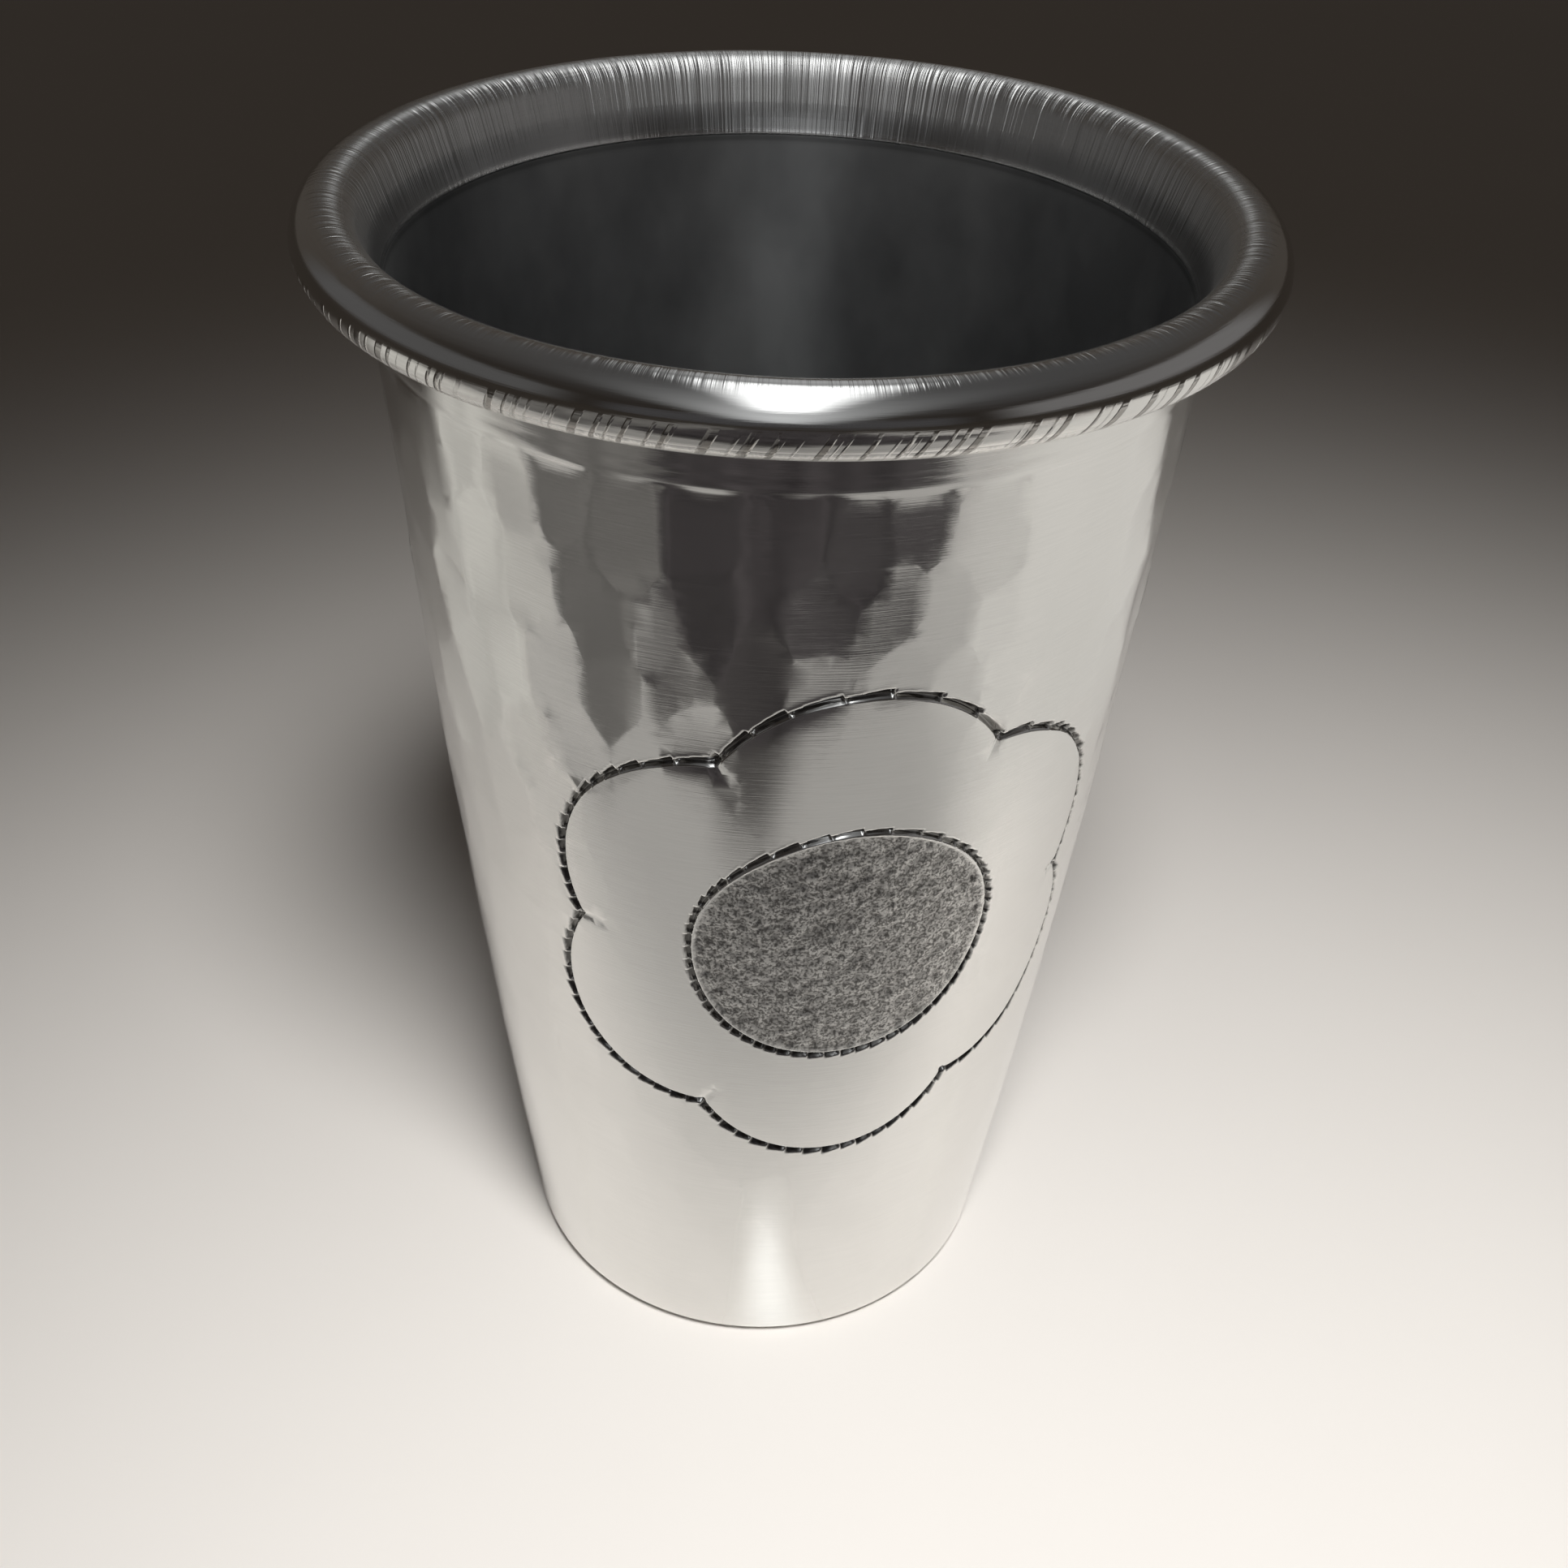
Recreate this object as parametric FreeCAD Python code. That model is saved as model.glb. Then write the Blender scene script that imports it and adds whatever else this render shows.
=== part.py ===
import FreeCAD, Part
import math
import os

# A hand-hammered sheet aluminium shot cup: a tapered wall with a wired, rolled rim,
# and a shallow bottom disc pressed down the taper onto a lip turned in at the foot.
# Millimetres. The cup's axis is Z and it stands on z = 0.

# Overall form
HEIGHT = 63.5  # table to the crest of the rim
RIM_RADIUS = 22.15  # outside of the rim bead
NECK_Z = 59.9  # where the wall stops rising straight and flares into the bead
NECK_RADIUS = 19.15  # outer skin of the wall at the neck
FOOT_RADIUS = 13.75  # outer skin of the wall run down to the table
SWELL = 0.5  # how far the wall bows out at half height

# Sheet, rim bead and core wire
SHEET = 0.8  # gauge of the wall
BEAD_RADIUS = 1.5  # outside of the roll
WIRE_ROOM = 0.05  # radial room between the roll and its wire
FLARE_LEAN = 0.35  # how far the hidden skin's curve leans out as it leaves the neck
MOUTH_DEGREES = 161  # where the bead's inner side runs off into the conical mouth
CURL_END_DEGREES = -130  # where the roll's cut edge stops, just short of the wall
WIRE_TURN_DEGREES = 359  # the wire is cut and butted, with a small gap at the back

# Foot and bottom disc
FOOT_EDGE = 1.0  # outside radius of the bend into the foot
LIP_RADIUS = 11.6  # cut edge of the lip turned in under the disc
DISC_GAUGE = 0.8
DISC_BEND = 1.2  # outside radius of the disc's turned-up edge
DISC_EDGE_Z = 3.4  # top of the disc's turned-up edge
DISC_ROOM = 0.03  # radial room between the disc's edge and the wall

# Fine line turned round the wall, below the smooth collar under the bead
LINE_Z = 58.0
LINE_DEPTH = 0.1
LINE_TOOL_RADIUS = 0.25

# Worked out from the dimensions above
BEAD_CENTRE_RADIUS = RIM_RADIUS - BEAD_RADIUS
BEAD_CENTRE_Z = HEIGHT - BEAD_RADIUS
ROLL_INSIDE_RADIUS = BEAD_RADIUS - SHEET
WIRE_RADIUS = ROLL_INSIDE_RADIUS - WIRE_ROOM
FLARE_PULL = (BEAD_CENTRE_Z - NECK_Z) / 3  # handle length of the flare's curve


def outer_skin(z):
    """Radius of the wall's outer skin below the neck."""
    t = z / NECK_Z
    return FOOT_RADIUS + (NECK_RADIUS - FOOT_RADIUS) * t + 4 * SWELL * t * (1 - t)


def inner_skin(z):
    """Radius of the wall's inner skin below the neck."""
    return outer_skin(z) - SHEET


def at(radius, z):
    """A point of a section, drawn in the XZ plane."""
    return FreeCAD.Vector(radius, 0, z)


def around(centre, radius, degrees):
    """The point at an angle on a circle of the section; 0 degrees points outwards."""
    angle = math.radians(degrees)
    return at(centre.x + radius * math.cos(angle), centre.z + radius * math.sin(angle))


def line(start, end):
    return Part.LineSegment(start, end).toShape()


def arc(centre, radius, start, end):
    """An arc of the section from one angle to another, in degrees."""
    points = [around(centre, radius, angle) for angle in (start, (start + end) / 2, end)]
    return Part.Arc(*points).toShape()


def bowed(skin, start_z, end_z):
    """The gently bowed run of a skin between two heights."""
    heights = (start_z, (start_z + end_z) / 2, end_z)
    return Part.Arc(*[at(skin(z), z) for z in heights]).toShape()


def flare(neck, top):
    """The curve that carries the hidden skin out from the neck into the roll."""
    up = FreeCAD.Vector(0, 0, FLARE_PULL)
    lean = FreeCAD.Vector(FLARE_LEAN, 0, 0)
    curve = Part.BezierCurve()
    curve.setPoles([neck, neck + up + lean, top - up, top])
    return curve.toShape()


def revolve(edges):
    """Turns a closed section into a solid about the cup's axis."""
    wire = Part.Wire(Part.__sortEdges__(edges))
    axis_point = FreeCAD.Vector(0, 0, 0)
    return Part.Face(wire).revolve(axis_point, FreeCAD.Vector(0, 0, 1), 360)


def cup_wall():
    """The wall: lip, foot bend, tapered sheet, flare and the roll around the wire."""
    bead = at(BEAD_CENTRE_RADIUS, BEAD_CENTRE_Z)
    bend = at(outer_skin(FOOT_EDGE) - FOOT_EDGE, FOOT_EDGE)
    inside_bend = FOOT_EDGE - SHEET
    outer_top = around(bead, ROLL_INSIDE_RADIUS, 180)
    mouth_top = around(bead, BEAD_RADIUS, MOUTH_DEGREES)
    section = [
        line(at(LIP_RADIUS, 0), at(bend.x, 0)),
        arc(bend, FOOT_EDGE, -90, 0),
        bowed(outer_skin, FOOT_EDGE, NECK_Z),
        flare(at(outer_skin(NECK_Z), NECK_Z), outer_top),
        arc(bead, ROLL_INSIDE_RADIUS, 180, CURL_END_DEGREES),
        line(
            around(bead, ROLL_INSIDE_RADIUS, CURL_END_DEGREES),
            around(bead, BEAD_RADIUS, CURL_END_DEGREES),
        ),
        arc(bead, BEAD_RADIUS, CURL_END_DEGREES, MOUTH_DEGREES),
        line(mouth_top, at(inner_skin(NECK_Z), NECK_Z)),
        bowed(inner_skin, FOOT_EDGE, NECK_Z),
        arc(bend, inside_bend, -90, 0),
        line(at(bend.x, SHEET), at(LIP_RADIUS, SHEET)),
        line(at(LIP_RADIUS, SHEET), at(LIP_RADIUS, 0)),
    ]
    tool_radius = outer_skin(LINE_Z) + LINE_TOOL_RADIUS - LINE_DEPTH
    line_tool = Part.makeTorus(tool_radius, LINE_TOOL_RADIUS)
    line_tool.translate(FreeCAD.Vector(0, 0, LINE_Z))
    return revolve(section).cut(line_tool)


def rim_wire():
    """The core wire of the rim, a ring whose ends butt at the back of the cup."""
    ring = Part.makeTorus(
        BEAD_CENTRE_RADIUS,
        WIRE_RADIUS,
        FreeCAD.Vector(0, 0, 0),
        FreeCAD.Vector(0, 0, 1),
        0,
        360,
        WIRE_TURN_DEGREES,
    )
    ring.rotate(FreeCAD.Vector(0, 0, 0), FreeCAD.Vector(0, 0, 1), 90)
    ring.translate(FreeCAD.Vector(0, 0, BEAD_CENTRE_Z))
    return ring


def base_disc():
    """The bottom: a disc with its edge turned up, lying on the lip inside the wall."""
    bend_z = SHEET + DISC_BEND
    bend = at(inner_skin(bend_z) - DISC_ROOM - DISC_BEND, bend_z)
    inside_bend = DISC_BEND - DISC_GAUGE
    edge_radius = inner_skin(DISC_EDGE_Z) - DISC_ROOM
    floor_z = SHEET + DISC_GAUGE
    section = [
        line(at(0, SHEET), at(bend.x, SHEET)),
        arc(bend, DISC_BEND, -90, 0),
        line(around(bend, DISC_BEND, 0), at(edge_radius, DISC_EDGE_Z)),
        line(at(edge_radius, DISC_EDGE_Z), at(edge_radius - DISC_GAUGE, DISC_EDGE_Z)),
        line(at(edge_radius - DISC_GAUGE, DISC_EDGE_Z), around(bend, inside_bend, 0)),
        arc(bend, inside_bend, -90, 0),
        line(at(bend.x, floor_z), at(0, floor_z)),
        line(at(0, floor_z), at(0, SHEET)),
    ]
    return revolve(section)


os.makedirs("parts", exist_ok=True)
for build in (cup_wall, rim_wire, base_disc):
    shape = build()
    shape.exportStep(f"parts/{build.__name__}.step")
    print(build.__name__, shape.isValid(), round(shape.Volume, 1), shape.BoundBox)
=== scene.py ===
import math

import bpy
import numpy as np
from mathutils import Matrix, Vector
from mathutils.geometry import delaunay_2d_cdt


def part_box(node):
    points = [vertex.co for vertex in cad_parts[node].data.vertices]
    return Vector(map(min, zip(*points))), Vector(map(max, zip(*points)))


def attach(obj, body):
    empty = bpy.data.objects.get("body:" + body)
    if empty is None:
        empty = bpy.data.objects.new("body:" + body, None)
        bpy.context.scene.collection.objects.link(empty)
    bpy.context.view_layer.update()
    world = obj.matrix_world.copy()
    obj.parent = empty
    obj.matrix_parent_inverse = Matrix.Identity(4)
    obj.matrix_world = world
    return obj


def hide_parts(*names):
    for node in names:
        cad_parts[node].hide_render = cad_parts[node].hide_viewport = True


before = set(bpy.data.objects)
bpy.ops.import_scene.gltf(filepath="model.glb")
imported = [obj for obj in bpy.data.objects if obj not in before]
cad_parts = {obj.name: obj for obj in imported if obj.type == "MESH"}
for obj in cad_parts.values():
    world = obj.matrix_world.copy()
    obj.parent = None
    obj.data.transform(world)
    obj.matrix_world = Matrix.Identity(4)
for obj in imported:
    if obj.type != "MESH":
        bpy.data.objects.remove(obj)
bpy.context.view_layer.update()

# ---------------------------------------------------------------- sizes, in metres
MM = 0.001
WALL_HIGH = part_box("cup_wall")[1]
WIRE_LOW, WIRE_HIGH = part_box("rim_wire")
DISC_LOW, DISC_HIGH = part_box("base_disc")

HEIGHT = WALL_HIGH.z
SHEET = DISC_LOW.z  # the disc lies on the lip, which is one sheet thick
BEAD_Z = (WIRE_LOW.z + WIRE_HIGH.z) / 2
BEAD_RADIUS = HEIGHT - BEAD_Z
BEAD_CENTRE = WALL_HIGH.x - BEAD_RADIUS
ROLL_INSIDE = BEAD_RADIUS - SHEET
CURL_END = math.radians(-130)
MOUTH = math.radians(161)  # where the bead runs off into the conical mouth

NECK_Z = 59.9 * MM
NECK_RADIUS = 19.15 * MM
FOOT_RADIUS = 13.75 * MM
SWELL = 0.5 * MM
FOOT_EDGE = 1.0 * MM
LIP_RADIUS = 11.6 * MM
LINE_Z = 58.0 * MM
FLARE_LEAN = 0.35 * MM

# ---------------------------------------------------------------- mesh density
COLUMNS = 288
LINE_STEPS = (-0.2, -0.1, 0, 0.1, 0.2, 0.45, 0.6, 0.75, 0.9, 1.05)  # rows by the collar's lines, mm
BAND_STEP = 0.085 * MM  # between points that follow a chased line
BAND_OFFSETS = np.array(
    [-0.75, -0.5, -0.34, -0.3, -0.25, -0.2, -0.15, -0.11, -0.03, 0.06, 0.14, 0.21, 0.28, 0.36, 0.5]
)  # of those points from the line, mm
STIPPLE_STEP = 0.17 * MM
TURN = 2 * math.pi
UNROLL = 18.0 * MM  # radius at which the wall is laid flat to be triangulated

rng = np.random.default_rng(7)

# Finishes and painted shade stored at each vertex of the wall, from 0 to 1 and a little over, for its
# material to read
FINISHES = ("matted", "painted_shade", "inside", "ticked", "wrinkled", "pitted")


def wrapped(angle):
    """An angle brought into -pi to pi."""
    return (angle + math.pi) % TURN - math.pi


def smooth(low, high, value):
    """0 below low, 1 above high, and an S curve between."""
    t = np.clip((value - low) / (high - low), 0, 1)
    return t * t * (3 - 2 * t)


def outer_skin(z):
    t = z / NECK_Z
    return FOOT_RADIUS + (NECK_RADIUS - FOOT_RADIUS) * t + 4 * SWELL * t * (1 - t)


def outer_slope(z):
    """How far the skin leans out for each unit of height."""
    return (NECK_RADIUS - FOOT_RADIUS + 4 * SWELL * (1 - 2 * z / NECK_Z)) / NECK_Z


# ---------------------------------------------------------------- the chased rosette
ROSETTE_AZIMUTH = math.radians(13.5)  # 0 is the -Y side, turning towards +X
ROSETTE_Z = 33.0 * MM
LOBES = 6
LOBE_CENTRE = 7.6 * MM
LOBE_RADIUS = 7.7 * MM
EYE_RADIUS = 7.6 * MM


def lobed_radius(angle):
    """Radius of the rosette's outline: six round lobes, one of them at the top."""
    step = TURN / LOBES
    t = (angle - math.pi / 2 + step / 2) % step - step / 2
    across = LOBE_CENTRE * np.sin(t)
    return LOBE_CENTRE * np.cos(t) + np.sqrt(LOBE_RADIUS**2 - across**2)


def eye_radius(angle):
    return EYE_RADIUS * (1 + 0.012 * np.sin(2 * angle + 0.6) + 0.006 * np.sin(5 * angle))


def rosette_plane(azimuth, z):
    """Flat coordinates on the wall, with the rosette's centre at the origin."""
    return wrapped(azimuth - ROSETTE_AZIMUTH) * outer_skin(z), z - ROSETTE_Z


class Groove:
    """A closed line cut with chisel strikes. Side +1 is outside the line."""

    def __init__(self, radius, short, long, depth, tooth):
        angles = np.linspace(0, TURN, 2400, endpoint=False)
        self.radius = radius
        self.points = np.stack([radius(angles) * np.cos(angles), radius(angles) * np.sin(angles)], 1)
        steps = np.linalg.norm(np.roll(self.points, -1, 0) - self.points, axis=1)
        self.along = np.concatenate([[0], np.cumsum(steps)[:-1]])
        self.length = steps.sum()
        self.depth, self.tooth = depth, tooth
        self.starts, self.pitch = self.strikes(angles, short, long)
        self.wobble = rng.uniform(-1, 1, (len(self.starts), 3))

    def strikes(self, angles, short, long):
        """Where each strike starts: long ones along the top, short ones elsewhere."""
        starts, pitches, at = [], [], 0.0
        while at < self.length - 0.4 * short:
            angle = np.interp(at, self.along, angles)
            top = float(smooth(0.62, 0.86, math.sin(angle)))
            pitch = (short + (long - short) * top) * rng.uniform(0.85, 1.15)
            starts.append(at)
            pitches.append(pitch)
            at += pitch
        return np.array(starts), np.array(pitches)

    def nearest(self, x, y):
        """Signed distance and distance along the line for points near it."""
        side = np.sign(np.hypot(x, y) - self.radius(np.arctan2(y, x)))
        distance, along = np.empty(len(x)), np.empty(len(x))
        for low in range(0, len(x), 2000):
            part = slice(low, low + 2000)
            dx = x[part, None] - self.points[None, :, 0]
            dy = y[part, None] - self.points[None, :, 1]
            squared = dx * dx + dy * dy
            index = squared.argmin(1)
            distance[part] = np.sqrt(squared[np.arange(len(index)), index])
            along[part] = self.along[index]
        return distance * side, along

    def cut(self, x, y):
        """Height that the line gives to points of the flat wall, and painted shade on the cut's outer
        slope.
        """
        height, dark = np.zeros(len(x)), np.zeros(len(x))
        near = np.abs(np.hypot(x, y) - self.radius(np.arctan2(y, x))) < 1.4 * MM
        if not near.any():
            return height, dark
        d, along = self.nearest(x[near], y[near])
        n = np.searchsorted(self.starts, along, side="right") - 1
        q = np.clip((along - self.starts[n]) / self.pitch[n], 0, 1)
        w1, w2, w3 = self.wobble[n].T
        edge = 0.02 * MM + self.tooth * (1 - q) * (1 + 0.25 * w1) + 0.03 * MM * w3
        deep = self.depth * (0.88 + 0.12 * q + 0.06 * w2)
        end_wall = 0.17 * MM / self.pitch[n]
        deep = deep * (1 - 0.8 * np.clip((q - 1 + end_wall) / end_wall, 0, 1))
        fall = np.clip((edge - d) / (edge + 0.12 * MM), 0, 1)
        rise = np.clip((-0.12 * MM - d) / (0.17 * MM), 0, 1)
        burr = 0.006 * MM * np.exp(-(((d - edge - 0.03 * MM) / (0.09 * MM)) ** 2))
        height[near] = burr - deep * fall * (1 - rise)
        # painted shade: darkens the outer slope of each strike, where the cut falls in shade
        dark[near] = smooth(0.0, 0.25, fall) * (1 - smooth(0.0, 0.2, rise)) * (1 - smooth(0.8, 1, q))
        return height, dark


OUTLINE = Groove(lobed_radius, 0.95 * MM, 2.15 * MM, 0.31 * MM, 0.26 * MM)
EYE_LINE = Groove(eye_radius, 0.75 * MM, 1.5 * MM, 0.29 * MM, 0.17 * MM)


def spokes(x, y):
    """A short tapering stroke running in from each notch between two lobes."""
    height = np.zeros(len(x))
    start, end = lobed_radius(np.array([TURN / LOBES / 2 + math.pi / 2]))[0], 10.6 * MM
    radius, angle = np.hypot(x, y), np.arctan2(y, x)
    step = TURN / LOBES
    t = (angle - math.pi / 2) % step - step / 2
    along = np.clip((start - radius) / (start - end), 0, 1)
    width = 0.16 * MM * (1.15 - along)
    inside = (radius < start + 0.1 * MM) & (radius > end)
    height[inside] = -(0.12 * MM * (1 - along) * np.exp(-((t * radius / width) ** 2)))[inside]
    return height


class Stipple:
    """The matted centre of the rosette: small punch marks close together."""

    def __init__(self, count):
        radius = EYE_RADIUS * np.sqrt(rng.uniform(0, 1, count))
        angle = rng.uniform(0, TURN, count)
        self.x, self.y = radius * np.cos(angle), radius * np.sin(angle)
        self.size = rng.uniform(0.18, 0.36, count) * MM
        self.deep = rng.uniform(0.015, 0.07, count) * MM

    def cut(self, x, y):
        height = np.zeros(len(x))
        inside = np.hypot(x, y) < EYE_RADIUS + 0.2 * MM
        px, py = x[inside], y[inside]
        total = np.zeros(len(px))
        for low in range(0, len(px), 1000):
            part = slice(low, low + 1000)
            squared = (px[part, None] - self.x) ** 2 + (py[part, None] - self.y) ** 2
            total[part] = -(self.deep * np.exp(-squared / (0.5 * self.size) ** 2)).sum(1)
        height[inside] = total
        return height


PUNCHED = Stipple(2600)


# ---------------------------------------------------------------- hammer marks
class Blows:
    """Rows of planishing blows. Each leaves a nearly flat oval facet on the round wall."""

    ROW_PITCH = 4.4 * MM
    BLOW_PITCH = 2.95 * MM

    def __init__(self):
        azimuth, z = [], []
        level = 56.2 * MM
        while level > 2 * MM:
            count = int(round(TURN * outer_skin(level) / self.BLOW_PITCH))
            start = rng.uniform(0, TURN / count)
            for i in range(count):
                stray = rng.uniform(-0.5, 0.5) * MM / outer_skin(level)
                azimuth.append(start + TURN * i / count + stray)
                z.append(level + rng.uniform(-0.8, 0.8) * MM)
            level -= self.ROW_PITCH * rng.uniform(0.92, 1.08)
        self.azimuth, self.z = np.array(azimuth), np.array(z)
        n = len(azimuth)
        self.wide = rng.uniform(1.6, 2.15, n) * MM
        self.tall = rng.uniform(2.5, 3.5, n) * MM
        self.deep = rng.uniform(0.05, 0.11, n) * MM
        self.lean = rng.uniform(-0.22, 0.22, n)
        self.tilt_s = rng.normal(0, 0.022, n)
        self.tilt_z = rng.normal(0.0, 0.014, n)

    def pans(self, azimuth, z):
        """Depth of every facet's surface at every point."""
        radius = outer_skin(z)[:, None]
        s = wrapped(azimuth[:, None] - self.azimuth) * radius
        v = z[:, None] - self.z
        across, up = s + self.lean * v, v - self.lean * s
        rho = np.sqrt((across / self.wide) ** 2 + (up / self.tall) ** 2)
        pan = -self.deep + across**2 / (2 * 17.5 * MM) + up**2 / (2 * 95 * MM)
        pan += self.tilt_s * across + self.tilt_z * up
        return pan + 0.55 * MM * np.maximum(rho - 0.92, 0) ** 2

    def crease_gap(self, azimuth, z):
        """How far the two lowest facets are apart at each point: nothing on a ridge."""
        result = np.empty(len(z))
        for low in range(0, len(z), 1500):
            part = slice(low, low + 1500)
            lowest = np.partition(self.pans(azimuth[part], z[part]), 1, axis=1)
            result[part] = lowest[:, 1] - lowest[:, 0]
        return result

    def height(self, azimuth, z):
        """The lowest facet at each point, with slightly softened ridges."""
        result = np.empty(len(z))
        sharpness = 0.0025 * MM
        for low in range(0, len(z), 1500):
            part = slice(low, low + 1500)
            pan = self.pans(azimuth[part], z[part])
            lowest = np.minimum(pan.min(1), 0)
            total = np.exp(-(pan - lowest[:, None]) / sharpness).sum(1)
            total += np.exp(lowest / sharpness)
            result[part] = lowest - sharpness * np.log(total)
        return result


HAMMERED = Blows()


def waves(azimuth, z, seed, count, low, high, size):
    """Soft random waviness of the sheet, periodic round the cup."""
    source = np.random.default_rng(seed)
    total = np.zeros(np.shape(z))
    for _ in range(count):
        around = source.integers(low, high)
        rise = source.uniform(-high, high) / (18 * MM)
        phase = source.uniform(0, TURN)
        total = total + np.sin(around * azimuth + rise * z + phase)
    return size * total / math.sqrt(count)


def wall_relief(azimuth, z):
    """Height of the outer skin over its smooth form, and its finish and painted shade at each point."""
    x, y = rosette_plane(azimuth, z)
    inside_outline = smooth(-0.5 * MM, 1.2 * MM, lobed_radius(np.arctan2(y, x)) - np.hypot(x, y))
    collar = smooth(57.7 * MM, 58.1 * MM, z)
    strength = 0.2 + 0.35 * smooth(14 * MM, 32 * MM, z) + 0.45 * smooth(30 * MM, 42 * MM, z)
    strength = strength * (1 - collar) * (1 - 0.93 * inside_outline)
    height = HAMMERED.height(azimuth, z) * strength
    height += waves(azimuth, z, 3, 7, 2, 7, 0.012 * MM)
    ring = np.exp(-(((z - LINE_Z) / (0.16 * MM)) ** 2))
    upper_ring = np.exp(-(((z - LINE_Z - 0.75 * MM) / (0.14 * MM)) ** 2))
    height -= 0.022 * MM * ring + 0.01 * MM * upper_ring
    outline, painted_shade_outline = OUTLINE.cut(x, y)
    eye, painted_shade_eye = EYE_LINE.cut(x, y)
    matted = smooth(0.0, 0.25 * MM, eye_radius(np.arctan2(y, x)) - 0.3 * MM - np.hypot(x, y))
    punched = PUNCHED.cut(x, y) * matted
    height += outline + eye + spokes(x, y) + punched - 0.05 * MM * matted
    finish = {
        "matted": matted,
        "painted_shade": np.maximum(painted_shade_outline, painted_shade_eye),
        "inside": np.zeros(len(z)),
        "ticked": np.zeros(len(z)),
        "wrinkled": np.zeros(len(z)),
        "pitted": np.clip(-punched / (0.06 * MM), 0, 1),
    }
    return height, finish


# ---------------------------------------------------------------- the wall's mesh
def place(azimuth, radius, z):
    """Points in the row frame from azimuth, radius and height."""
    return np.stack([radius * np.sin(azimuth), -radius * np.cos(azimuth), z], -1)


def line_bands(groove, offsets, step):
    """Flat points that follow a groove on both sides of it."""
    count = int(groove.length / step)
    along = np.linspace(0, len(groove.points), count, endpoint=False)
    index = along.astype(int)
    ahead = np.roll(groove.points, -8, 0)[index] - np.roll(groove.points, 8, 0)[index]
    normal = np.stack([ahead[:, 1], -ahead[:, 0]], 1)
    normal /= np.linalg.norm(normal, axis=1, keepdims=True)
    base = groove.points[index]
    return np.concatenate([base + normal * offset for offset in offsets])


def grid(columns, rows, low, high):
    """Azimuths and heights of an even grid round the whole wall."""
    turns = np.linspace(-math.pi, math.pi, columns + 1)
    azimuth, z = np.meshgrid(turns, np.linspace(low, high, rows))
    return azimuth.ravel(), z.ravel()


def flat_points():
    """Points of the unrolled outer wall: few inside a facet, many along ridges and chased lines."""
    edges = grid(COLUMNS, 2, FOOT_EDGE, NECK_Z)
    inset = 0.45 * MM
    coarse = grid(COLUMNS // 2, 72, FOOT_EDGE + inset, NECK_Z - inset)
    fine = grid(2 * COLUMNS, 238, 8 * MM, LINE_Z - 0.3 * MM)
    ridge = HAMMERED.crease_gap(*fine) < 0.018 * MM
    fine = fine[0][ridge], fine[1][ridge]
    line_rows = [grid(COLUMNS, 1, LINE_Z + step * MM, LINE_Z) for step in LINE_STEPS]
    clear_of_lines = np.abs(coarse[1] - LINE_Z - 0.4 * MM) > 0.75 * MM
    coarse = coarse[0][clear_of_lines], coarse[1][clear_of_lines]
    groups = [coarse, fine] + line_rows
    azimuth, z = (np.concatenate(part) for part in zip(*groups))
    x, y = rosette_plane(azimuth, z)
    radius, angle = np.hypot(x, y), np.arctan2(y, x)
    outline_gap = radius - lobed_radius(angle)
    keep = (np.abs(outline_gap) > 0.95 * MM) & (radius - eye_radius(angle) > 0.85 * MM)
    azimuth, z = np.concatenate([edges[0], azimuth[keep]]), np.concatenate([edges[1], z[keep]])
    bands = [line_bands(line, BAND_OFFSETS * MM, BAND_STEP) for line in (OUTLINE, EYE_LINE)]
    across = np.arange(-EYE_RADIUS, EYE_RADIUS, STIPPLE_STEP)
    sx, sy = (g.ravel() for g in np.meshgrid(across, across))
    sx = sx + rng.uniform(-0.3, 0.3, len(sx)) * STIPPLE_STEP
    sy = sy + rng.uniform(-0.3, 0.3, len(sy)) * STIPPLE_STEP
    inner = np.hypot(sx, sy) < eye_radius(np.arctan2(sy, sx)) - 0.85 * MM
    bands.append(np.stack([sx[inner], sy[inner]], 1))
    near = np.concatenate(bands)
    near_z = near[:, 1] + ROSETTE_Z
    near_azimuth = ROSETTE_AZIMUTH + near[:, 0] / outer_skin(near_z)
    return np.concatenate([azimuth, near_azimuth]), np.concatenate([z, near_z])


def outer_patch():
    """The outer wall between foot bend and neck: azimuths, heights and triangles."""
    azimuth, z = flat_points()
    flat = list(zip((azimuth * UNROLL).tolist(), z.tolist()))
    scaled = [(a * 1000, b * 1000) for a, b in flat]
    points, _, faces, origin, _, _ = delaunay_2d_cdt(scaled, [], [], 0, 1e-7)
    index = np.array([o[0] for o in origin])
    azimuth, z = azimuth[index], z[index]
    triangles = np.array(faces)
    left = {round(float(h), 9): i for i, (a, h) in enumerate(zip(azimuth, z)) if abs(a + math.pi) < 1e-9}
    merge = np.arange(len(z))
    for i, (a, h) in enumerate(zip(azimuth, z)):
        if abs(a - math.pi) < 1e-9:
            merge[i] = left[round(float(h), 9)]
    triangles = merge[triangles]
    used, triangles = np.unique(triangles, return_inverse=True)
    return azimuth[used], z[used], triangles.reshape(-1, 3)


def arc_points(centre, radius, start, end, count):
    """Points of an arc of the section, its first one left out."""
    angles = np.linspace(start, end, count + 1)[1:]
    return [(centre[0] + radius * math.cos(a), centre[1] + radius * math.sin(a)) for a in angles]


def flare(start, end, count):
    """The curve that carries the hidden skin out from the neck into the roll."""
    t = np.linspace(0, 1, count + 1)[1:, None]
    pull = (BEAD_Z - NECK_Z) / 3
    p0, p3 = np.array(start), np.array(end)
    p1, p2 = p0 + (FLARE_LEAN, pull), p3 - (0, pull)
    curve = (1 - t) ** 3 * p0 + 3 * (1 - t) ** 2 * t * p1 + 3 * (1 - t) * t**2 * p2 + t**3 * p3
    return [tuple(p) for p in curve]


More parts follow.
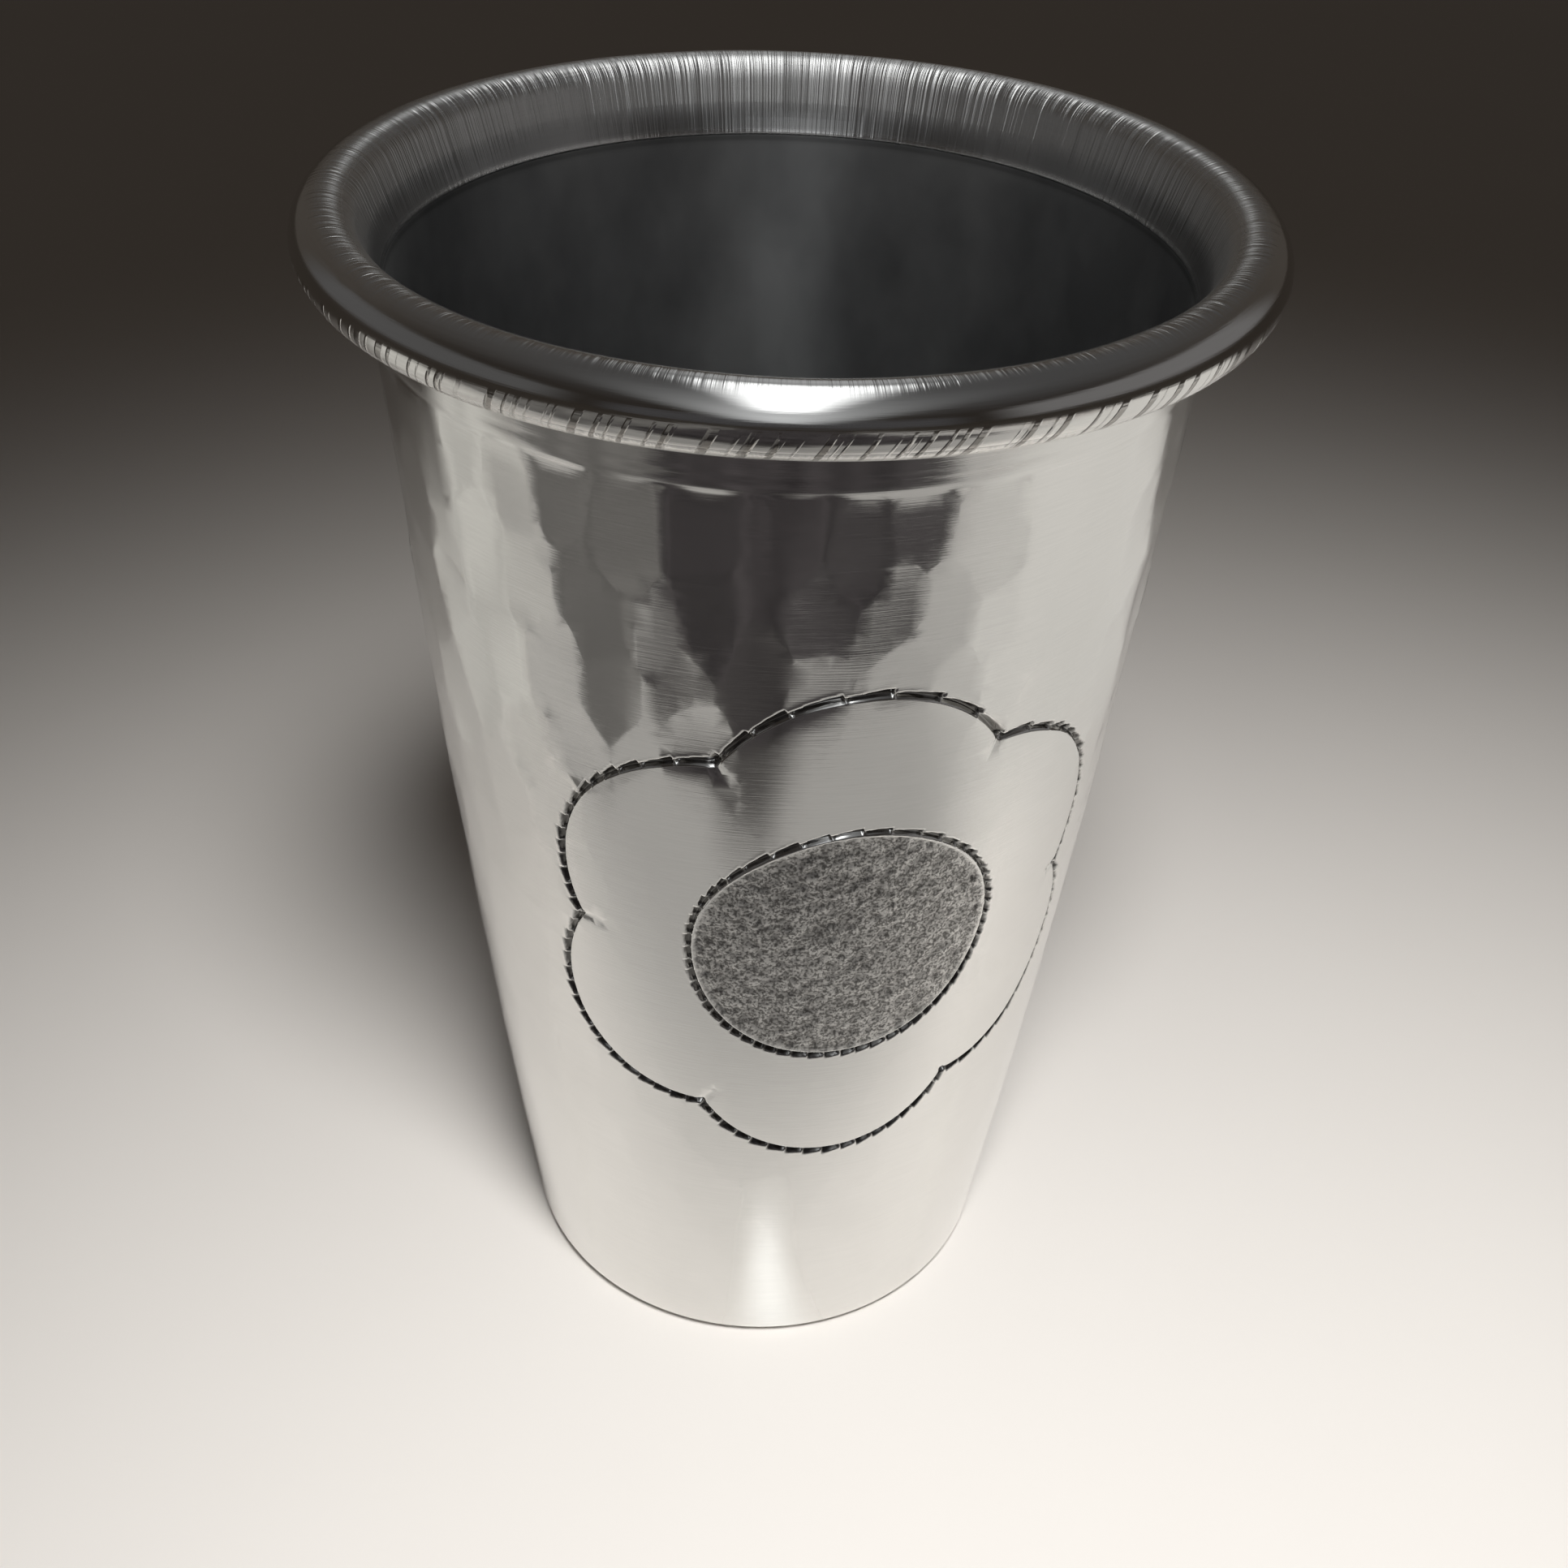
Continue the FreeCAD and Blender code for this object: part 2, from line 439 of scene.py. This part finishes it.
# Shares of the way down the mouth at which it has a ring, closer together towards the neck
MOUTH_STEPS = (0.12, 0.25, 0.38, 0.5, 0.6, 0.7, 0.79, 0.86, 0.91, 0.955, 1.0)


def swept_section():
    """The rest of the section, from the neck round the bead, down the inside and under."""
    bead = (BEAD_CENTRE, BEAD_Z)
    neck_out = (float(outer_skin(NECK_Z)), NECK_Z)
    neck_in = (neck_out[0] - SHEET, NECK_Z)
    bend = (float(outer_skin(FOOT_EDGE)) - FOOT_EDGE, FOOT_EDGE)
    mouth_top, curl_edge = (
        (BEAD_CENTRE + BEAD_RADIUS * math.cos(angle), BEAD_Z + BEAD_RADIUS * math.sin(angle))
        for angle in (MOUTH, CURL_END)
    )
    close = [NECK_Z - step * MM for step in (0.08, 0.18, 0.3, 0.42, 0.6)]
    upper = list(np.linspace(NECK_Z - 1.1 * MM, 34 * MM, 34))
    heights = close + upper + list(np.linspace(34 * MM, FOOT_EDGE, 12)[1:])
    mouth = [tuple(np.array(mouth_top) + t * (np.array(neck_in) - mouth_top)) for t in MOUTH_STEPS]
    runs = [
        ("hidden", flare(neck_out, (BEAD_CENTRE - ROLL_INSIDE, BEAD_Z), 4)),
        ("hidden", arc_points(bead, ROLL_INSIDE, math.pi, CURL_END, 8)),
        ("hidden", [curl_edge]),
        ("bead", arc_points(bead, BEAD_RADIUS, CURL_END, MOUTH, 32)),
        ("mouth", mouth),
        ("inner", [(float(outer_skin(z)) - SHEET, float(z)) for z in heights]),
        ("hidden", arc_points(bend, FOOT_EDGE - SHEET, 0, -math.pi / 2, 2)),
        ("hidden", [(LIP_RADIUS, SHEET), (LIP_RADIUS, 0.0), (bend[0], 0.0)]),
        ("foot", arc_points(bend, FOOT_EDGE, -math.pi / 2, 0, 6)),
    ]
    points, parts = [neck_out], ["neck"]
    for part, run in runs:
        points += run
        parts += [part] * len(run)
    return np.array(points), parts


def swept_relief(azimuth, radius, z, part):
    """Height, finish and painted shade of one ring of the swept part."""
    n = len(azimuth)
    finish = {name: np.zeros(n) for name in FINISHES}
    height = np.zeros(n)
    if part == "bead":
        angle = math.atan2(z - BEAD_Z, radius - BEAD_CENTRE)
        finish["wrinkled"] = np.full(n, float(smooth(0.05, -0.2, angle) * smooth(-0.95, -0.7, angle)))
        # painted reflection: a dark band on the lower front of the bead, fading out away from the front
        front = smooth(0.6, 0.15, np.abs(wrapped(azimuth + 0.12)))
        finish["painted_shade"] = 0.5 * math.exp(-(((angle + 0.34) / 0.25) ** 2)) * front
        handled = 0.3 + 0.7 * smooth(0.4, 1.0, np.abs(azimuth))
        finish["ticked"] = float(0.65 * smooth(0.95, 1.5, angle)) * handled
        finish["ticked"] += float(0.55 * smooth(2.1, 2.75, angle) + 0.7 * smooth(-0.5, -0.75, angle))
        height += waves(azimuth, np.full(n, z), 11, 6, 3, 14, 0.010 * MM)
        height += nicks(azimuth, angle)
    if part == "mouth":
        # painted shade: darkens the mouth in a band above the neck, left off in a narrow strip right by the
        # neck; the same band is also smoother
        polished_and_shaded = float(smooth(NECK_Z + 1.9 * MM, NECK_Z + 0.6 * MM, z))
        next_to_neck = float(smooth(NECK_Z + 0.3 * MM, NECK_Z + 0.1 * MM, z))
        finish["inside"] = np.full(n, 0.75 * polished_and_shaded * (1 - next_to_neck))
        finish["painted_shade"] = np.full(n, 0.5 * polished_and_shaded * (1 - next_to_neck))
        finish["ticked"] = np.full(n, 0.95 * (1 - polished_and_shaded) + 0.3)
    if part == "inner":
        level = np.full(n, z)
        fade = float(smooth(NECK_Z - 0.6 * MM, NECK_Z - 2.5 * MM, z))
        finish["inside"] = np.ones(n)
        # painted shade: a dark line along the inner crease just below the neck
        finish["painted_shade"] = np.full(n, 0.5 * math.exp(-(((z - NECK_Z + 0.24 * MM) / (0.14 * MM)) ** 2)))
        height -= fade * (0.3 * HAMMERED.height(azimuth, level) + 0.02 * MM)
        height += waves(azimuth, level, 5, 8, 3, 16, 0.012 * MM) * fade
    return height, finish


NICKS = (
    (-0.99, 1.35, 0.9, 0.05),
    (-0.93, 1.15, 0.5, 0.06),
    (-0.84, 1.25, 0.7, 0.05),
    (-0.89, 1.5, 0.35, 0.05),
    (0.62, 1.7, 0.4, 0.03),
)  # azimuth and angle round the bead in radians, size and depth in millimetres


def nicks(azimuth, angle):
    """A few dents that wear has left on the bead."""
    height = np.zeros(len(azimuth))
    for where, round_bead, size, deep in NICKS:
        along = wrapped(azimuth - where) * BEAD_CENTRE / (size * MM)
        across = (angle - round_bead) * BEAD_RADIUS / (0.45 * size * MM)
        height -= deep * MM * np.exp(-(along**2) - across**2)
    return height


def section_normals(points):
    """Outward normals of the closed section, material on their inner side."""
    ahead = np.roll(points, -1, 0) - points
    behind = points - np.roll(points, 1, 0)
    ahead[-1], behind[0] = behind[-1], ahead[0]
    tangent = ahead / np.linalg.norm(ahead, axis=1, keepdims=True)
    tangent += behind / np.linalg.norm(behind, axis=1, keepdims=True)
    normal = np.stack([tangent[:, 1], -tangent[:, 0]], 1)
    return normal / np.linalg.norm(normal, axis=1, keepdims=True)


def wall_mesh():
    """The whole wall as one closed mesh, with its finish and painted shade stored at each vertex."""
    azimuth, z, triangles = outer_patch()
    height, finish = wall_relief(azimuth, z)
    edge = smooth(0, 1.2 * MM, np.minimum(z - FOOT_EDGE, NECK_Z - z))
    height = height * edge
    lean = np.arctan(outer_slope(z))
    radius = outer_skin(z) + height * np.cos(lean)
    vertices = [place(azimuth, radius, z - height * np.sin(lean))]
    finishes = {name: [finish[name]] for name in FINISHES}

    def ring_of(level):
        """The patch's own vertices at one end, in order of azimuth."""
        found = np.flatnonzero(np.abs(z - level) < 1e-9)
        return found[np.argsort(azimuth[found])]

    top, bottom = ring_of(NECK_Z), ring_of(FOOT_EDGE)
    turns = azimuth[top]
    section, parts = swept_section()
    normals = section_normals(section)
    rings, total = [top], len(z)
    for i in range(1, len(section) - 1):
        height, finish = swept_relief(turns, section[i, 0], section[i, 1], parts[i])
        ring_radius = section[i, 0] + height * normals[i, 0]
        vertices.append(place(turns, ring_radius, section[i, 1] + height * normals[i, 1]))
        for name in FINISHES:
            finishes[name].append(finish[name])
        rings.append(np.arange(total, total + COLUMNS))
        total += COLUMNS
    rings.append(bottom)
    quads = []
    for low, high in zip(rings, rings[1:]):
        quads.append(np.stack([low, np.roll(low, -1), np.roll(high, -1), high], 1))
    stored = {name: np.concatenate(values) for name, values in finishes.items()}
    return np.concatenate(vertices), triangles, np.concatenate(quads), stored


def make_mesh(name, vertices, faces, values=None):
    """A smooth-shaded mesh object with a float attribute for each named set of values."""
    mesh = bpy.data.meshes.new(name)
    mesh.from_pydata(vertices.tolist(), [], faces)
    for key, value in (values or {}).items():
        attribute = mesh.attributes.new(key, "FLOAT", "POINT")
        attribute.data.foreach_set("value", value.astype(np.float32))
    mesh.update()
    mesh.validate()
    mesh.shade_smooth()
    piece = bpy.data.objects.new(name, mesh)
    bpy.context.scene.collection.objects.link(piece)
    return piece


# ---------------------------------------------------------------- materials
class Nodes:
    """Small helper that adds and links shader nodes of one material."""

    def __init__(self, name):
        self.material = bpy.data.materials.new(name)
        self.material.use_nodes = True
        self.tree = self.material.node_tree
        self.shader = self.tree.nodes["Principled BSDF"]

    def add(self, kind, inputs=None, **settings):
        node = self.tree.nodes.new(kind)
        for key, value in settings.items():
            setattr(node, key, value)
        for key, value in (inputs or {}).items():
            self.put(node.inputs[key], value)
        return node

    def put(self, socket, value):
        if isinstance(value, bpy.types.NodeSocket):
            self.tree.links.new(value, socket)
        else:
            socket.default_value = value

    def math(self, operation, a, b=0.0, clamp=False):
        return self.add("ShaderNodeMath", {0: a, 1: b}, operation=operation, use_clamp=clamp).outputs[0]

    def mix(self, share, a, b):
        node = self.add("ShaderNodeMix", {0: share, 6: a, 7: b}, data_type="RGBA")
        return node.outputs[2]

    def spread(self, value, low, high, to_low=0.0, to_high=1.0):
        inputs = {0: value, 1: low, 2: high, 3: to_low, 4: to_high}
        return self.add("ShaderNodeMapRange", inputs).outputs[0]

    def stored(self, name):
        return self.add("ShaderNodeAttribute", attribute_name=name).outputs["Fac"]

    def stretched(self, scale):
        """Object coordinates with their own scale along each axis, per metre."""
        coordinates = self.add("ShaderNodeTexCoord").outputs["Object"]
        return self.add("ShaderNodeMapping", {"Vector": coordinates, "Scale": scale}).outputs[0]

    def noise(self, vector, scale, detail=2.0, roughness=0.5):
        inputs = {"Vector": vector, "Scale": scale, "Detail": detail, "Roughness": roughness}
        return self.add("ShaderNodeTexNoise", inputs).outputs["Fac"]

    def bump(self, height, strength, distance, normal=None):
        inputs = {"Height": height, "Strength": strength, "Distance": distance}
        if normal is not None:
            inputs["Normal"] = normal
        return self.add("ShaderNodeBump", inputs).outputs[0]


def round_the_axis(nodes, pitch_radius):
    """A vector that depends only on the direction round the cup's axis."""
    coordinates = nodes.add("ShaderNodeTexCoord").outputs["Object"]
    level = {0: coordinates, 1: (1, 1, 0)}
    flat = nodes.add("ShaderNodeVectorMath", level, operation="MULTIPLY").outputs[0]
    unit = nodes.add("ShaderNodeVectorMath", {0: flat}, operation="NORMALIZE").outputs[0]
    scaled = nodes.add("ShaderNodeVectorMath", {0: unit}, operation="SCALE")
    scaled.inputs["Scale"].default_value = pitch_radius
    return scaled.outputs[0]


def wall_material():
    """Hammered, brushed aluminium, matted, and darkened with painted shade, where the mesh says so."""
    n = Nodes("hammered_aluminium")
    matted, painted_shade, pitted = n.stored("matted"), n.stored("painted_shade"), n.stored("pitted")
    inside, ticked = n.stored("inside"), n.stored("ticked")
    cloudy = n.noise(n.stretched((90, 90, 60)), 1.0, 4.0, 0.55)
    brushed = n.noise(n.stretched((420, 420, 16000)), 1.0, 3.0, 0.6)
    grain = n.noise(n.stretched((6800, 6800, 6800)), 1.0, 2.0, 0.6)
    radial = n.noise(round_the_axis(n, 46.0), 1.0, 3.0, 0.7)

    bright = n.mix(n.spread(cloudy, 0.35, 0.7), (0.79, 0.785, 0.765, 1), (0.86, 0.855, 0.835, 1))
    bright = n.mix(n.spread(brushed, 0.35, 0.75, 0.0, 0.25), bright, (0.68, 0.675, 0.66, 1))
    dull = n.mix(n.spread(cloudy, 0.4, 0.65), (0.57, 0.575, 0.58, 1), (0.92, 0.925, 0.92, 1))
    colour = n.mix(inside, bright, dull)
    speckle_and_pit_shade = n.mix(n.spread(grain, 0.42, 0.56), (0.24, 0.235, 0.225, 1), (0.8, 0.79, 0.77, 1))
    # painted shade: darker in the deepest punch marks, over the random grain of the matted field
    speckle_and_pit_shade = n.mix(n.math("MULTIPLY", pitted, 0.45), speckle_and_pit_shade, (0.1, 0.095, 0.09, 1))
    colour = n.mix(matted, colour, speckle_and_pit_shade)
    # painted shade: near black in the chased cuts, in a band on the bead's front, on the mouth and along
    # the inner crease
    colour = n.mix(n.math("MULTIPLY", painted_shade, 0.85), colour, (0.05, 0.045, 0.04, 1))
    split = n.add("ShaderNodeSeparateXYZ", {0: n.add("ShaderNodeTexCoord").outputs["Object"]})
    turn = n.math("ARCTAN2", split.outputs["X"], split.outputs["Y"])
    lean = n.math("MULTIPLY", split.outputs["Z"], 0.5)
    slant = n.math("ADD", n.math("MULTIPLY", turn, BEAD_CENTRE), lean)
    ticks = n.add("ShaderNodeTexNoise", {"W": slant, "Scale": 2100.0, "Detail": 1.0}, noise_dimensions="1D")
    wrinkle_and_shade = n.math("MULTIPLY", n.spread(ticks.outputs["Fac"], 0.54, 0.64), n.stored("wrinkled"))
    # painted shade: dark streaks in the wrinkles on the bead's lower outer side; the same streaks are also
    # bumped below
    colour = n.mix(n.math("MULTIPLY", wrinkle_and_shade, 0.6), colour, (0.13, 0.11, 0.09, 1))
    n.put(n.shader.inputs["Base Color"], colour)

    rough = n.spread(cloudy, 0.3, 0.75, 0.10, 0.15)
    rough = n.math("ADD", rough, n.math("MULTIPLY", matted, 0.3))
    rough = n.math("ADD", rough, n.math("MULTIPLY", inside, 0.18))
    rough = n.math("ADD", rough, n.math("MULTIPLY", ticked, 0.2), True)
    n.put(n.shader.inputs["Roughness"], rough)
    n.shader.inputs["Metallic"].default_value = 1.0
    n.shader.inputs["Anisotropic"].default_value = 0.55
    n.shader.inputs["Anisotropic Rotation"].default_value = 0.25
    around = n.add("ShaderNodeTangent", direction_type="RADIAL", axis="Z").outputs[0]
    n.put(n.shader.inputs["Tangent"], around)

    normal = n.bump(brushed, 0.3, 0.00001)
    normal = n.bump(n.math("MULTIPLY", radial, n.math("MINIMUM", ticked, 1.0)), 0.9, 0.00018, normal)
    normal = n.bump(wrinkle_and_shade, 0.6, 0.00008, normal)
    normal = n.bump(n.math("MULTIPLY", grain, matted), 0.5, 0.00008, normal)
    n.put(n.shader.inputs["Normal"], normal)
    return n.material


def turned_material(name, low, high, roughness):
    """Aluminium with fine lathe or drawing lines round the cup's axis."""
    n = Nodes(name)
    coordinates = n.add("ShaderNodeTexCoord").outputs["Object"]
    split = n.add("ShaderNodeSeparateXYZ", {0: coordinates})
    x, y = split.outputs["X"], split.outputs["Y"]
    radius = n.math("SQRT", n.math("ADD", n.math("MULTIPLY", x, x), n.math("MULTIPLY", y, y)))
    flat = n.add("ShaderNodeCombineXYZ", {0: radius, 1: 0.0, 2: split.outputs["Z"]}).outputs[0]
    rings = n.noise(flat, 9000.0, 2.0, 0.6)
    cloudy = n.noise(coordinates, 240.0, 4.0, 0.6)
    shade = n.math("ADD", n.math("MULTIPLY", rings, 0.4), n.math("MULTIPLY", cloudy, 0.6))
    n.put(n.shader.inputs["Base Color"], n.mix(n.spread(shade, 0.35, 0.65), low, high))
    n.put(n.shader.inputs["Roughness"], n.spread(cloudy, 0.3, 0.7, roughness, roughness + 0.15))
    n.shader.inputs["Metallic"].default_value = 1.0
    n.put(n.shader.inputs["Normal"], n.bump(rings, 0.3, 0.00004))
    return n.material


def floor_material():
    """A plain pale table, faintly mottled."""
    n = Nodes("pale_table")
    mottle = n.noise(n.stretched((30, 30, 30)), 1.0, 3.0, 0.5)
    n.put(n.shader.inputs["Base Color"], n.mix(mottle, (0.79, 0.765, 0.735, 1), (0.82, 0.795, 0.765, 1)))
    n.shader.inputs["Roughness"].default_value = 0.55
    n.shader.inputs["Specular IOR Level"].default_value = 0.0
    return n.material


# ---------------------------------------------------------------- pieces
def build_wall():
    vertices, triangles, quads, finishes = wall_mesh()
    piece = make_mesh("hammered_wall", vertices, triangles.tolist() + quads.tolist(), finishes)
    piece.data.materials.append(wall_material())
    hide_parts("cup_wall")
    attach(piece, "root")


def ring_faces(count, columns):
    """Quads between rings of vertices, each ring closed on itself."""
    faces = []
    for ring in range(count - 1):
        for i in range(columns):
            j = (i + 1) % columns
            a, b = ring * columns, (ring + 1) * columns
            faces.append((a + i, a + j, b + j, b + i))
    return faces


def build_disc():
    """The bottom disc: slightly domed, with turned rings and its edge turned up."""
    gauge = 0.8 * MM
    bend_radius = 1.2 * MM
    bend = (DISC_HIGH.x - bend_radius - 0.17 * MM, DISC_LOW.z + bend_radius)
    edge = DISC_HIGH.x - 0.02 * MM
    top = DISC_HIGH.z
    section = [(0.3 * MM, DISC_LOW.z)]
    section += [(r * MM, DISC_LOW.z) for r in (3, 6, 9, 11)]
    section += [(bend[0], DISC_LOW.z)] + arc_points(bend, bend_radius, -math.pi / 2, 0, 6)
    section += [(edge, top - 0.1 * MM), (edge - 0.1 * MM, top)]
    section += [(edge - gauge + 0.1 * MM, top), (edge - gauge, top - 0.12 * MM)]
    section += [(bend[0] + bend_radius - gauge, bend[1])]
    section += arc_points(bend, bend_radius - gauge, 0, -math.pi / 2, 5)
    floor_z = DISC_LOW.z + gauge
    rings = np.linspace(bend[0], 0.3 * MM, 60)[1:]
    for r in rings:
        step = 0.03 * MM * math.sin(r / (0.9 * MM)) * smooth(0, 3 * MM, bend[0] - r)
        section.append((float(r), float(floor_z - 0.04 * MM + step)))
    columns = 128
    turns = np.linspace(0, TURN, columns, endpoint=False)
    vertices = np.concatenate([place(turns, np.full(columns, r), np.full(columns, z)) for r, z in section])
    faces = ring_faces(len(section), columns)
    last = (len(section) - 1) * columns
    faces.append(tuple(range(columns))[::-1])
    faces.append(tuple(range(last, last + columns)))
    piece = make_mesh("bottom_disc", vertices, faces)
    dark, light = (0.32, 0.32, 0.31, 1), (0.5, 0.5, 0.48, 1)
    piece.data.materials.append(turned_material("turned_disc", dark, light, 0.25))
    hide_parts("base_disc")
    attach(piece, "root")


def finish_wire():
    """The core wire keeps its CAD shape and gets a drawn-wire finish."""
    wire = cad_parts["rim_wire"]
    wire.data.materials.clear()
    dark, light = (0.5, 0.5, 0.49, 1), (0.65, 0.65, 0.63, 1)
    wire.data.materials.append(turned_material("drawn_wire", dark, light, 0.3))


# ---------------------------------------------------------------- stage
def plate(name, centre, size, turn=None):
    """A flat rectangle of the stage."""
    x, y = size[0] / 2, size[1] / 2
    mesh = bpy.data.meshes.new(name)
    mesh.from_pydata([(-x, -y, 0), (x, -y, 0), (x, y, 0), (-x, y, 0)], [], [(0, 1, 2, 3)])
    piece = bpy.data.objects.new(name, mesh)
    piece.location = centre
    if turn is not None:
        piece.rotation_euler = turn
    bpy.context.scene.collection.objects.link(piece)
    return piece


def card(name, centre, size, colour, strength, soft=None, turn=None, mottle=0.0):
    """A studio card that only the metal sees: it shapes reflections and casts nothing."""
    piece = plate(name, centre, size, turn)
    n = Nodes(name)
    if mottle:
        clouds = n.noise(n.stretched((55, 55, 55)), 1.0, 1.0, 0.5)
        clouds = n.spread(clouds, 0.35, 0.65, 1 - mottle, 1 + mottle)
        strength = n.math("MULTIPLY", clouds, strength)
    tree = n.tree
    glow = n.add("ShaderNodeEmission", {"Color": colour, "Strength": strength}).outputs[0]
    if soft is not None:
        split = n.add("ShaderNodeSeparateXYZ", {0: n.add("ShaderNodeTexCoord").outputs["Object"]})
        share = 1.0
        for axis, half, edge in (("X", size[0] / 2, soft[0]), ("Y", size[1] / 2, soft[1])):
            gap = n.math("ABSOLUTE", split.outputs[axis])
            inputs = {0: gap, 1: half - edge, 2: half, 3: 1.0, 4: 0.0}
            fade = n.add("ShaderNodeMapRange", inputs, interpolation_type="SMOOTHSTEP").outputs[0]
            share = n.math("MULTIPLY", fade, share)
        clear = n.add("ShaderNodeBsdfTransparent").outputs[0]
        glow = n.add("ShaderNodeMixShader", {0: share, 1: clear, 2: glow}).outputs[0]
    tree.links.new(glow, tree.nodes["Material Output"].inputs["Surface"])
    piece.data.materials.append(n.material)
    piece.visible_camera = False
    piece.visible_diffuse = False
    piece.visible_shadow = False
    piece.visible_transmission = False
    return piece


def build_table_cards():
    """Painted reflections for the wall: glowing sheets on the table that stand in for its lit pool and a
    glow at the foot, and dark sheets that stand in for the shadow lying across it in front.
    """
    # painted shadow: the shade, grey, dim and darkest sheets; painted light of the lit table: the left,
    # right, rear and warm ones
    shade, grey, dim = (0.41, 0.397, 0.378, 1), (0.15, 0.143, 0.135, 1), (0.07, 0.065, 0.062, 1)
    left, right, rear = (0.54, 0.525, 0.49, 1), (0.68, 0.66, 0.625, 1), (0.34, 0.33, 0.31, 1)
    darkest, warm = (0.047, 0.042, 0.043, 1), (1.0, 0.98, 0.94, 1)
    card("front_shade", (0.0, -0.175, 0.0002), (0.30, 0.33), shade, 1.0, (0.08, 0.03))
    card("left_glow", (-0.120, 0.0, 0.00025), (0.15, 0.085), left, 1.0, (0.03, 0.03), mottle=0.15)
    card("right_glow", (0.115, 0.005, 0.00025), (0.16, 0.15), right, 1.0, (0.04, 0.04))
    card("painted_shadow_grey", (-0.095, -0.24, 0.0003), (0.11, 0.405), grey, 1.0, (0.01, 0.005), mottle=0.35)
    card("painted_shadow_near", (-0.016, -0.134, 0.0004), (0.060, 0.154), dim, 1.0, (0.012, 0.008), mottle=0.4)
    card("painted_shadow_close", (-0.006, -0.105, 0.00045), (0.026, 0.110), dim, 1.0, (0.010, 0.008))
    card("painted_shadow_dark", (0.011, -0.27, 0.0005), (0.136, 0.41), darkest, 1.0, (0.004, 0.010), mottle=0.6)
    card("rear_glow", (0.004, 0.25, 0.0002), (0.13, 0.36), rear, 1.0, (0.06, 0.12))
    card("foot_glow", (0.0015, -0.0165, 0.0006), (0.006, 0.014), warm, 1.2, (0.003, 0.006))


def build_room_cards():
    """What the bead and the mouth mirror: a long lamp overhead, a dim ceiling and walls."""
    cool, pale, ceiling = (0.97, 0.985, 1.0, 1), (0.96, 0.98, 1.0, 1), (0.15, 0.148, 0.15, 1)
    right, left, front = (0.16, 0.155, 0.155, 1), (0.085, 0.083, 0.083, 1), (0.055, 0.053, 0.055, 1)
    across, facing = (0, math.pi / 2, 0), (math.pi / 2, 0, 0)
    card("lamp", (0.006, -0.06, 0.36), (0.134, 0.68), cool, 2.3, (0.067, 0.15))
    card("lamp_back", (0.0, 0.66, 0.3603), (0.20, 1.1), cool, 0.42, (0.10, 0.35))
    card("lamp_tail", (0.0, -0.75, 0.3605), (0.5, 1.7), pale, 0.65, (0.25, 0.7))
    card("ceiling", (0.06, 0.1, 0.361), (1.0, 1.6), ceiling, 0.45, (0.45, 0.7))
    card("right_side", (0.62, -0.05, 0.24), (0.46, 1.3), right, 1.0, (0.1, 0.3), across)
    card("left_side", (-0.62, -0.05, 0.24), (0.46, 1.3), left, 1.0, (0.1, 0.3), across)
    card("front_side", (0.0, -1.2, 0.3), (2.2, 0.56), front, 1.0, (0.4, 0.1), facing)


def build_key():
    """The soft pool of light on the table, in front of the cup and to its right."""
    place_at, aim = Vector((0.026, -0.119, 0.25)), Vector((0.027, -0.064, 0))
    spot = bpy.data.lights.new("key", "SPOT")
    spot.energy = 3.65
    spot.spot_size = 2 * 0.588
    spot.spot_blend = 1.0
    spot.shadow_soft_size = 0.04
    spot.color = (1.0, 0.985, 0.965)
    key = bpy.data.objects.new("key", spot)
    key.location = place_at
    key.rotation_euler = (aim - place_at).to_track_quat("-Z", "Y").to_euler()
    key.visible_glossy = False
    bpy.context.scene.collection.objects.link(key)


def build_stage():
    floor = plate("table", (0, 0, 0), (6, 6))
    floor.data.materials.append(floor_material())
    build_table_cards()
    build_room_cards()
    build_key()
    build_room()


def build_room():
    """Dim warm surroundings, lighter behind the cup than in front of it."""
    world = bpy.data.worlds.new("room")
    world.use_nodes = True
    tree = world.node_tree
    background = tree.nodes["Background"]
    background.inputs["Strength"].default_value = 1.0
    direction = tree.nodes.new("ShaderNodeTexCoord").outputs["Generated"]
    split = tree.nodes.new("ShaderNodeSeparateXYZ")
    tree.links.new(direction, split.inputs[0])
    behind = tree.nodes.new("ShaderNodeMapRange")
    behind.interpolation_type = "SMOOTHSTEP"
    for index, value in ((1, -0.3), (2, 0.9), (3, 0.0), (4, 1.0)):
        behind.inputs[index].default_value = value
    tree.links.new(split.outputs["Y"], behind.inputs[0])
    mix = tree.nodes.new("ShaderNodeMix")
    mix.data_type = "RGBA"
    tree.links.new(behind.outputs[0], mix.inputs[0])
    mix.inputs[6].default_value = (0.024, 0.020, 0.017, 1)
    mix.inputs[7].default_value = (0.060, 0.052, 0.045, 1)
    tree.links.new(mix.outputs[2], background.inputs["Color"])
    bpy.context.scene.world = world


def build_camera():
    """A close, slightly tilted view of the cup from above."""
    elevation, roll = math.radians(36.72), math.radians(2.56)
    target = Vector((0.73, 0, 30.15)) * MM
    distance = 103.0 * MM
    forward = Vector((0, math.cos(elevation), -math.sin(elevation)))
    level_right = Vector((1, 0, 0))
    level_up = level_right.cross(forward)
    right = math.cos(roll) * level_right + math.sin(roll) * level_up
    up = math.cos(roll) * level_up - math.sin(roll) * level_right
    data = bpy.data.cameras.new("camera")
    data.sensor_width = 36.0
    data.lens = 42.82
    data.clip_start = 0.005
    data.clip_end = 20.0
    camera = bpy.data.objects.new("camera", data)
    turn = Matrix((right, up, -forward)).transposed().to_4x4()
    camera.matrix_world = Matrix.Translation(target - forward * distance) @ turn
    bpy.context.scene.collection.objects.link(camera)
    bpy.context.scene.camera = camera


build_wall()
build_disc()
finish_wire()
build_stage()
build_camera()
bpy.context.scene.view_settings.view_transform = "Standard"
